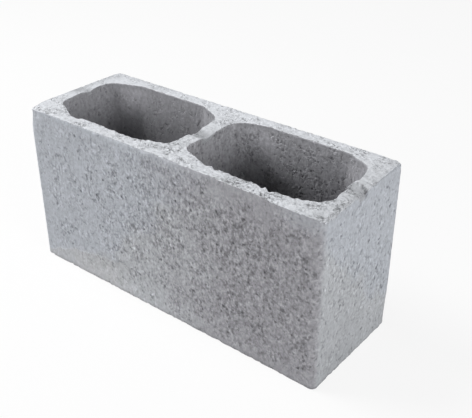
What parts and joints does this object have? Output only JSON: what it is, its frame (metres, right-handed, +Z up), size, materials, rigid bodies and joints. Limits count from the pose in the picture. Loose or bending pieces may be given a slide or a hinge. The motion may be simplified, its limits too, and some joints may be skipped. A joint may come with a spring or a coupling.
{
  "type": "concrete block",
  "caption": "Hollow concrete masonry block with plain square ends, thin walls and cores that go right through from top to bottom, for laying walls in mortar.",
  "frame": {"origin": "middle of the bottom bed face, on the floor the block stands on", "axes": "+X along the block's length, +Y across its width, +Z up through the cores to the bed face that faced up in the mould"},
  "size_m": [0.39, 0.14, 0.19],
  "materials": {
    "concrete": "dry-pressed grey concrete, rough and open-grained, with small pits, pale sand grains and crumbly arrises"
  },
  "bodies": {
    "root": {"concrete_block": "concrete"}
  },
  "joints": []
}
